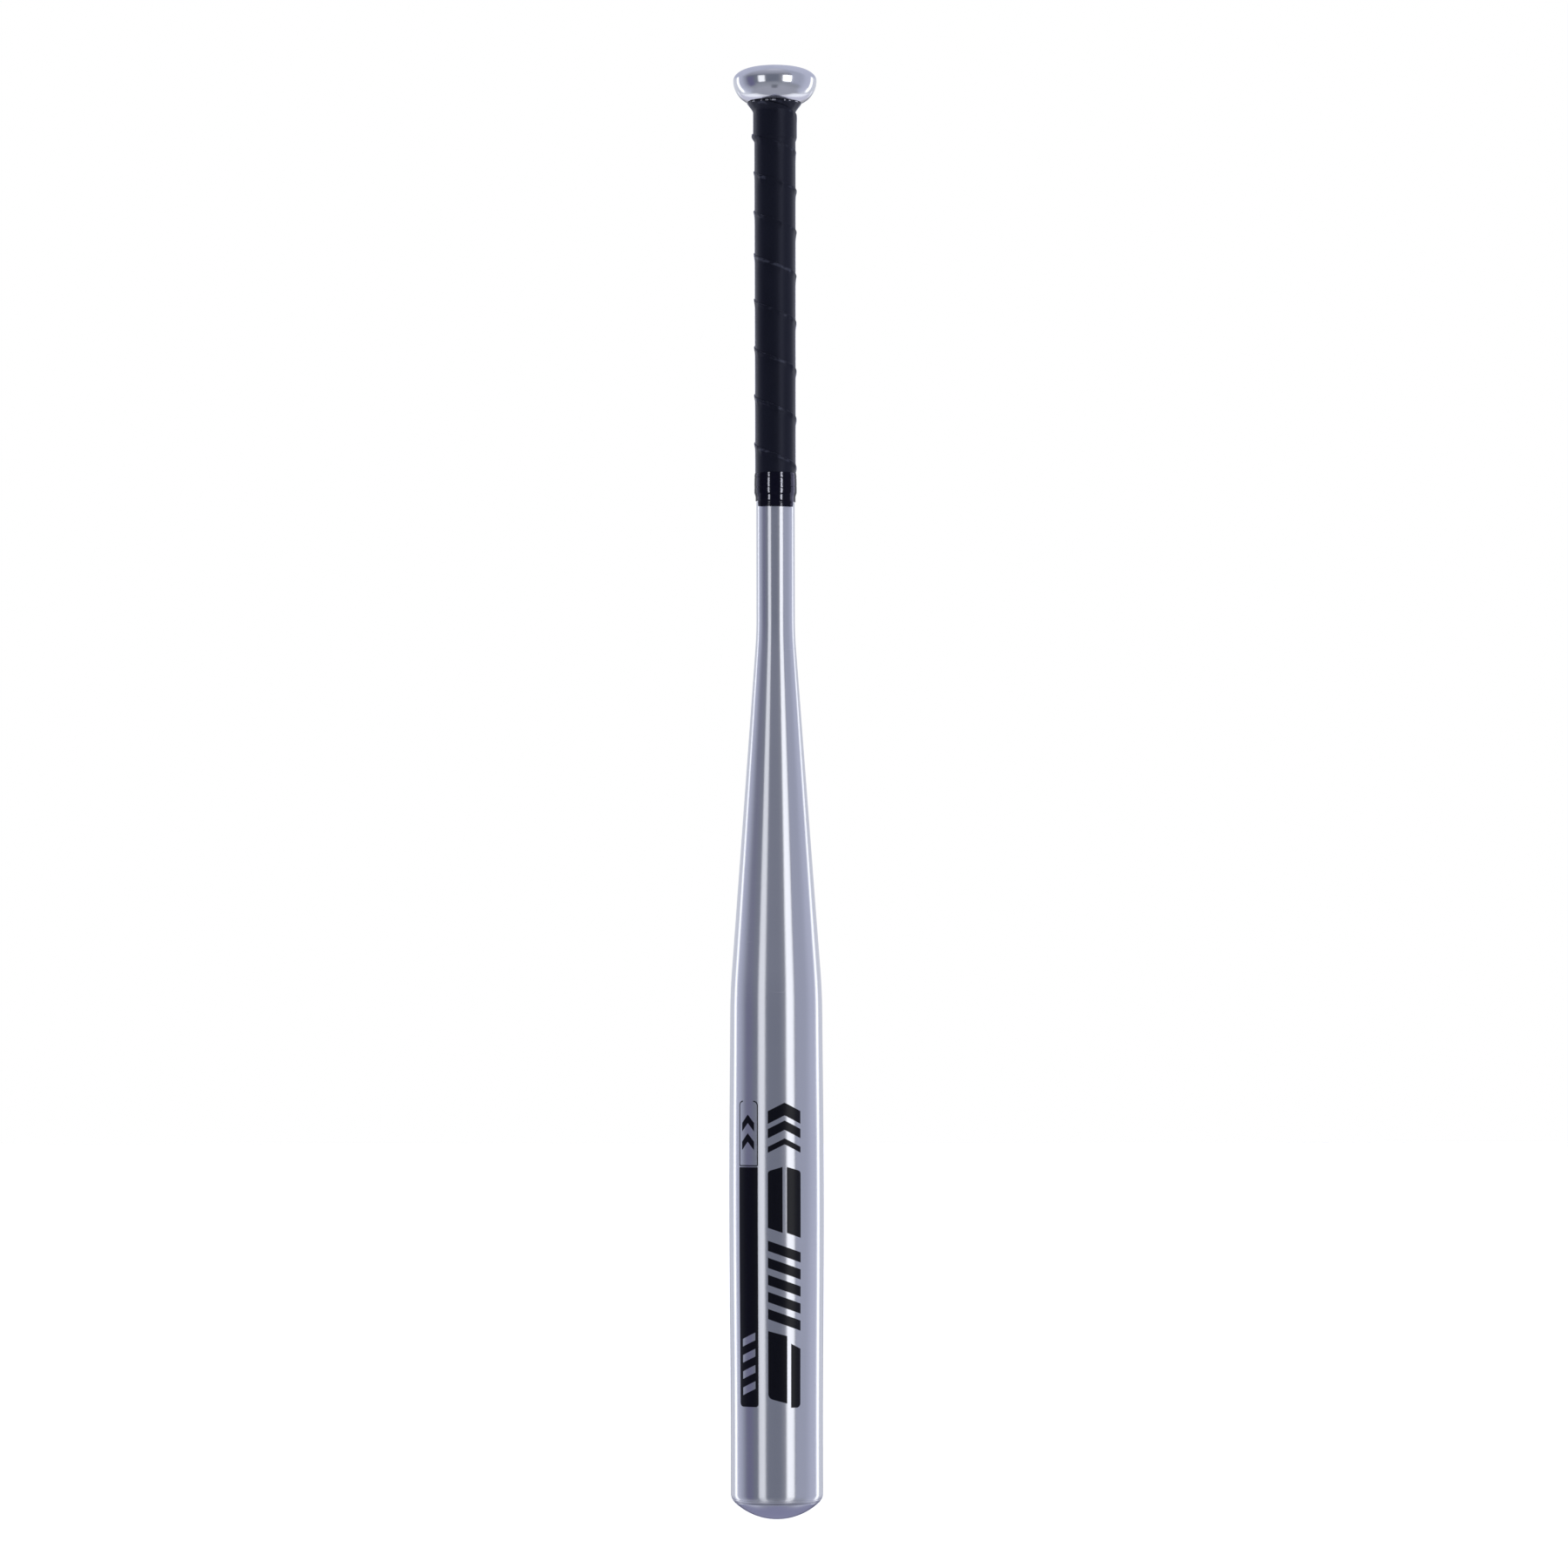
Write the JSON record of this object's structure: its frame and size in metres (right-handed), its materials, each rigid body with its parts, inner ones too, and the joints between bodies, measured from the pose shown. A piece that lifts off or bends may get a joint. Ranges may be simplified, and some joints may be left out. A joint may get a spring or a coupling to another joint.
{
  "type": "baseball bat",
  "caption": "Hollow aluminium baseball bat with a brushed barrel and printed black bands, a domed end, a round knob and a black spiral-wound grip held by glossy tape.",
  "frame": {"origin": "on the bat's axis, level with the knob's underside, where a rack's fork holds the hanging bat", "axes": "+Z along the bat's axis from barrel to knob; the printed bands face -Y"},
  "size_m": [0.0558, 0.0558, 0.8636],
  "materials": {
    "brushed_aluminium": "brushed round the axis, uncoated",
    "weld_aluminium": "ground flush",
    "polished_aluminium": "polished",
    "grip_leather": "satin synthetic leather with a fine grain",
    "black_vinyl": "glossy, slightly wrinkled tape",
    "black_print": "screen-printed ink, satin"
  },
  "bodies": {
    "root": {"bat_shell": "brushed_aluminium", "end_cap": "brushed_aluminium", "end_cap_weld": "weld_aluminium", "knob": "polished_aluminium", "knob_weld": "weld_aluminium", "grip_tape": "grip_leather", "finishing_tape": "black_vinyl"}
  },
  "joints": []
}
